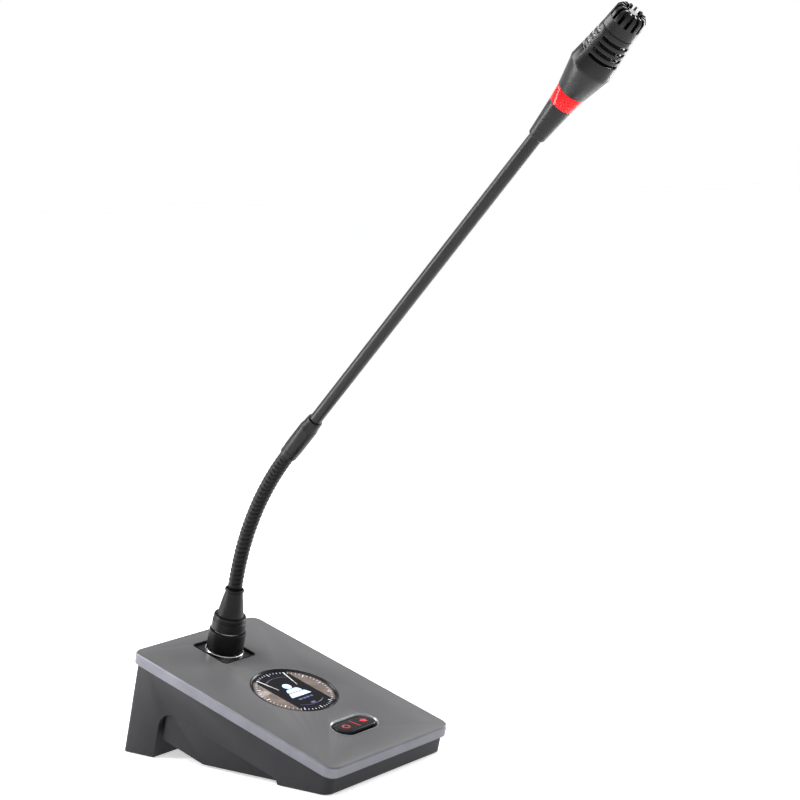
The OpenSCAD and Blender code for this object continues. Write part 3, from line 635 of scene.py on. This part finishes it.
turned_piece(
    "boot", [(4.6, 23.8), (8.2, 23.8), (8.2, 24.4), (7.95, 24.9), (7.25, 29), (6.5, 33.4), (5.7, 37.6),
             (5.3, 39.4), (5.75, 39.75), (5.9, 40.1), (5.85, 40.9), (5.6, 41.3), (5.2, 41.4),
             (4.6, 41.4)],
    socket_frame, boot_rubber, "mic_plug", ["plug_boot"], edge=0.1 * mm, angle=32)


# Gooseneck: a steel core in a ribbed sleeve of black PVC, straight as it leaves the boot and bent
# forward above that. It is ten lengths here, each of which crosses one joint.
neck_r, neck_rise, arc_l, neck_bend = 4.5, 7.0, 93.5, math.radians(29.8)
lip_top = 41.4
arc_low = lip_top + neck_rise
bend_r = arc_l / neck_bend
joint_count = 10
step_l = arc_l / joint_count
ribs_per_length = 3
rib_rings = ((0.0, 0.5), (0.07, 0.44), (0.2, 0.12), (0.36, 0.0), (0.64, 0.0), (0.8, 0.12),
             (0.93, 0.44))
neck_sleeve = surface(
    "neck_sleeve", shade(16, 16, 17), shade(10, 10, 11), 0.44, 0.35 * mm, 0.006 * mm,
    patch=10 * mm, gloss=0.22)


def bent(x, y, along):
    """A point beside the gooseneck's centre line, some way along its arc, or below the arc on
    the socket's axis, in the socket's frame."""
    turn = neck_bend * max(along, 0) / arc_l
    return Vector((x, y * math.cos(turn) - bend_r * (1 - math.cos(turn)),
                   arc_low + min(along, 0) + bend_r * math.sin(turn) + y * math.sin(turn))) * mm


for i in range(joint_count):
    low, high = i * step_l, (i + 1) * step_l
    first_rib = -2 if i == 0 else 0
    profile = [(neck_r - dip, low + (rib + part) * step_l / ribs_per_length)
               for rib in range(first_rib, ribs_per_length) for part, dip in rib_rings]
    profile.append((neck_r - rib_rings[0][1], high))
    stands_for = ["neck_base"] if i == 0 else [f"neck_link_{i}"]
    if i == 0:
        profile.insert(0, (neck_r - 0.5, -neck_rise - 2))
    if i == joint_count - 1:
        profile.append((neck_r - 0.5, high + 3))
        stands_for.append("neck_tip")
    neck_bm = bmesh.new()
    turned(neck_bm, profile, steps=40, close=False)
    outward(neck_bm)
    for vertex in neck_bm.verts:
        vertex.co = socket_frame @ bent(*vertex.co)
    length = add_piece(f"neck_{i + 1}", neck_bm, neck_sleeve, None, stands_for, angle=60)
    middle = low + step_l / 2
    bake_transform(length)


# Coupling sleeve and stem: a turned and blacked sleeve crimped over the gooseneck's end,
# and a straight steel tube in satin black powder coat.
arm_frame = socket_frame @ Matrix.Translation(bent(0, 0, arc_l)) @ Matrix.Rotation(
    neck_bend, 4, "X")
sleeve_l, sleeve_r = 31.5, 5.5
stem_l, stem_r, stem_wall = 227.0, 3.7, 0.8
stem_low = sleeve_l * 0.6
head_t0 = sleeve_l + stem_l
sleeve_black = surface(
    "sleeve_black", shade(20, 20, 21), shade(14, 14, 15), 0.36, 0.3 * mm, 0.004 * mm,
    patch=9 * mm, gloss=0.28)
stem_black = surface(
    "stem_black", shade(17, 17, 18), shade(12, 12, 13), 0.34, 0.3 * mm, 0.005 * mm,
    patch=14 * mm, gloss=0.34)
turned_piece(
    "sleeve", [(neck_r, 0), (sleeve_r - 0.45, 0), (sleeve_r - 0.2, 0.35), (sleeve_r - 0.2, 4),
               (sleeve_r - 0.4, 4.3), (sleeve_r - 0.4, 5), (sleeve_r, 5.4), (sleeve_r, sleeve_l - 8),
               (sleeve_r - 0.3, sleeve_l - 6.1), (sleeve_r - 0.5, sleeve_l - 5.6),
               (stem_r + 1, sleeve_l - 0.3), (stem_r + 0.8, sleeve_l), (stem_r, sleeve_l),
               (stem_r, stem_low), (neck_r, stem_low)],
    arm_frame, sleeve_black, "mic_head", ["coupling_sleeve"], edge=0.1 * mm)
turned_piece(
    "stem", [(stem_r - stem_wall, stem_low), (stem_r, stem_low), (stem_r, head_t0 + 8),
             (stem_r - stem_wall, head_t0 + 8)],
    arm_frame, stem_black, "mic_head", ["stem_tube"], edge=0.0)


# Head: a black anodised cone, a ring of red polycarbonate lit from inside, a barrel with
# four rows of sound slots over a wire screen, and a cap of radial fins over the capsule.
cone_l, ring_l, rise_l, crown_l, head_l = 22.5, 9.0, 17.0, 13.0, 85.5
ring_t0 = head_t0 + cone_l
barrel_t0 = ring_t0 + ring_l
shoulder_t = barrel_t0 + rise_l
head_end = head_t0 + head_l
crown_t0 = head_end - crown_l
head_r, head_wall = 11.9, 1.4
crown_r0, crown_r1 = head_r - 2.5, head_r - 3.2
slot_rows, slot_pitch, slot_h = 4, 3.65, 1.7
slot_count, slot_angle, slot_start = 3, 102, 60
slot_t0 = crown_t0 - 4.9 - (slot_rows - 1) * slot_pitch
head_black = surface(
    "head_black", shade(18, 18, 19), shade(12, 12, 13), 0.33, 0.3 * mm, 0.006 * mm,
    patch=9 * mm, gloss=0.34)
turned_piece(
    "cone", [(1.6, head_t0 + 8.1), (stem_r, head_t0 + 8.1), (stem_r, head_t0), (4.5, head_t0),
             (4.8, head_t0 + 0.4), (5.1, head_t0 + 4), (6.7, ring_t0 - 0.4), (6.5, ring_t0),
             (1.6, ring_t0)],
    arm_frame, head_black, "mic_head", ["head_cone"], edge=0.12 * mm)
lit_red = shown("lit_red", shade(250, 22, 28), shade(236, 14, 20), 0.85, patch=6 * mm)
turned_piece(
    "lit_ring", [(4.6, ring_t0), (6.75, ring_t0), (6.85, ring_t0 + 0.2), (7.85, barrel_t0 - 0.2),
                 (7.8, barrel_t0), (4.6, barrel_t0)],
    arm_frame, lit_red, "mic_head", ["light_ring"], edge=0.1 * mm)


def barrel_r(t):
    """The barrel's outer radius between the shoulder and the crown."""
    top_r = head_r - 0.2
    return top_r + (crown_r0 - top_r) * (t - shoulder_t - 1) / (crown_t0 - shoulder_t - 1)


def rounded_edges(bm, width, sharpest=35, steps=2):
    """Rounds every edge that is sharper than an angle in degrees."""
    bmesh.ops.bevel(
        bm, geom=[edge for edge in bm.edges if len(edge.link_faces) == 2
                  and edge.calc_face_angle() > math.radians(sharpest)],
        offset=width, offset_type="OFFSET", segments=steps, profile=0.5, affect="EDGES",
        material=-1, clamp_overlap=True)


turn_steps = 120
slot_edges = [slot_t0 + row * slot_pitch + part for row in range(slot_rows) for part in (0, slot_h)]
barrel_bm = bmesh.new()
turned(barrel_bm, [(r * mm, t * mm) for r, t in [
    (3.2, barrel_t0), (7.75, barrel_t0), (8.1, barrel_t0 + 0.4),
    (head_r - 0.5, shoulder_t - 1.5), (head_r, shoulder_t), (head_r - 0.2, shoulder_t + 1)]
    + [(barrel_r(t), t) for t in slot_edges]
    + [(barrel_r(crown_t0 - 0.25), crown_t0 - 0.25), (crown_r0 - 0.25, crown_t0)]],
    steps=turn_steps, close=False)
outward(barrel_bm)
cut = []
for face in barrel_bm.faces:
    middle = face.calc_center_median()
    level = middle.z / mm
    turn = (math.degrees(math.atan2(middle.y, middle.x)) - slot_start) % (360 / slot_count)
    if turn < slot_angle and any(
            low < level < high for low, high in zip(slot_edges[::2], slot_edges[1::2])):
        cut.append(face)
bmesh.ops.delete(barrel_bm, geom=cut, context="FACES")
bmesh.ops.solidify(barrel_bm, geom=barrel_bm.faces[:], thickness=head_wall * mm)
bmesh.ops.recalc_face_normals(barrel_bm, faces=barrel_bm.faces[:])
rounded_edges(barrel_bm, 0.16 * mm)
bmesh.ops.transform(barrel_bm, matrix=arm_frame, verts=barrel_bm.verts)
add_piece("barrel", barrel_bm, head_black, "mic_head", ["head_barrel"], angle=50)

fin_count, fin_slot, fin_l, fin_hub_r, capsule_bore_r = 14, 1.7, 7.0, 3.0, 7.3
fin_low, hub_top = head_end - fin_l, head_end - 0.7
half_turn = math.pi / fin_count
fin_root = fin_slot / 2 / math.sin(half_turn)
crown_slope = (crown_r1 - crown_r0) / (head_end - crown_t0)
fin_low_r = crown_r0 + crown_slope * (fin_low - crown_t0)
crown_bm = bmesh.new()
turned(crown_bm, [(r * mm, t * mm) for r, t in (
    (capsule_bore_r, crown_t0), (crown_r0 - 0.2, crown_t0), (crown_r0, crown_t0 + 0.25),
    (fin_low_r, fin_low - 0.3), (fin_low_r - 0.3, fin_low), (fin_hub_r, fin_low),
    (fin_hub_r, hub_top - 0.5), (fin_hub_r - 0.5, hub_top), (0, hub_top), (0, fin_low - 1),
    (capsule_bore_r, fin_low - 1))], close=False)
outward(crown_bm)
fin_bm = bmesh.new()
fin_side = fin_bm.faces.new([fin_bm.verts.new((r * mm, 0, t * mm)) for r, t in (
    (fin_root + 0.5, fin_low - 0.4), (fin_low_r, fin_low - 0.4), (crown_r1 + 0.05, head_end - 2.0),
    (crown_r1 - 1.5, head_end), (fin_root + 0.9, head_end))])
extruded = bmesh.ops.extrude_face_region(fin_bm, geom=[fin_side])["geom"]
other_side = [item for item in extruded if isinstance(item, bmesh.types.BMVert)]
for side_verts, sign in ((fin_side.verts, -1), (other_side, 1)):
    for vertex in side_verts:
        vertex.co.y = sign * (vertex.co.x - fin_root * mm) * math.tan(half_turn)
bmesh.ops.recalc_face_normals(fin_bm, faces=fin_bm.faces[:])
rounded_edges(fin_bm, 0.22 * mm)
bmesh.ops.spin(
    fin_bm, geom=fin_bm.verts[:] + fin_bm.edges[:] + fin_bm.faces[:], cent=(0, 0, 0),
    axis=(0, 0, 1), dvec=(0, 0, 0), angle=math.tau * (fin_count - 1) / fin_count,
    steps=fin_count - 1, use_merge=False, use_normal_flip=False, use_duplicate=True)
fin_mesh = bpy.data.meshes.new("fins")
fin_bm.to_mesh(fin_mesh)
fin_bm.free()
crown_bm.from_mesh(fin_mesh)
bpy.data.meshes.remove(fin_mesh)
bmesh.ops.transform(crown_bm, matrix=arm_frame, verts=crown_bm.verts)
add_piece("fin_cap", crown_bm, head_black, "mic_head", ["crown_cap"], angle=35)
screen_wire = surface(
    "screen_wire", shade(40, 40, 43), shade(12, 12, 13), 0.5, 0.5 * mm, 0.03 * mm,
    patch=0.8 * mm, gloss=0.2)
nodes["head_screen"].material_slots[0].material = screen_wire


# Inside: fixings in zinc-plated steel, a painted steel ballast slab, the boards in green
# lacquer with their chips and switches, the line sockets, and the capsule in its mount.
zinc_steel = surface(
    "zinc_steel", shade(168, 170, 176), shade(140, 142, 148), 0.35, 0.3 * mm, 0.004 * mm,
    metal=1.0, patch=3 * mm)
ballast_paint = surface(
    "ballast_paint", shade(118, 120, 124), shade(98, 100, 104), 0.5, 0.8 * mm, 0.03 * mm,
    metal=0.4, patch=14 * mm)
board_green = surface(
    "board_green", shade(34, 98, 60), shade(24, 78, 46), 0.4, 0.6 * mm, 0.01 * mm, patch=3 * mm)
board_white = surface(
    "board_white", shade(228, 228, 220), shade(210, 210, 202), 0.45, 0.5 * mm, 0.01 * mm,
    patch=3 * mm)
chip_epoxy = surface(
    "chip_epoxy", shade(30, 30, 32), shade(22, 22, 24), 0.55, 0.2 * mm, 0.01 * mm, patch=4 * mm)
switch_grey = surface(
    "switch_grey", shade(84, 86, 92), shade(70, 72, 78), 0.45, 0.3 * mm, 0.01 * mm, patch=3 * mm)
panel_film = surface(
    "panel_film", shade(34, 38, 58), shade(26, 29, 46), 0.3, 0.5 * mm, 0.004 * mm, patch=8 * mm)
line_nylon = surface(
    "line_nylon", shade(48, 48, 53), shade(40, 40, 45), 0.4, 0.3 * mm, 0.008 * mm, patch=6 * mm)
mount_rubber = surface(
    "mount_rubber", shade(44, 44, 46), shade(34, 34, 36), 0.75, 0.5 * mm, 0.02 * mm, patch=4 * mm)
capsule_cloth = surface(
    "capsule_cloth", shade(190, 186, 176), shade(160, 156, 148), 0.5, 0.4 * mm, 0.02 * mm,
    metal=0.5, patch=2 * mm)
inside_finishes = {
    zinc_steel: ("plate_screws", "cover_screws", "ballast_screws", "board_screws",
                 "board_studs", "key_axle"),
    ballast_paint: ("ballast_plate",),
    board_green: ("display_board", "key_board", "main_board", "line_board"),
    board_white: ("light_board",),
    chip_epoxy: ("board_chips",),
    switch_grey: ("key_switches",),
    panel_film: ("display_panel",),
    mount_rubber: ("capsule_mount",),
    capsule_cloth: ("capsule",),
}
for finish, members in inside_finishes.items():
    for member in members:
        nodes[member].material_slots[0].material = finish
softened_copy("line_jacks", "line_sockets", line_nylon, 0.2 * mm)
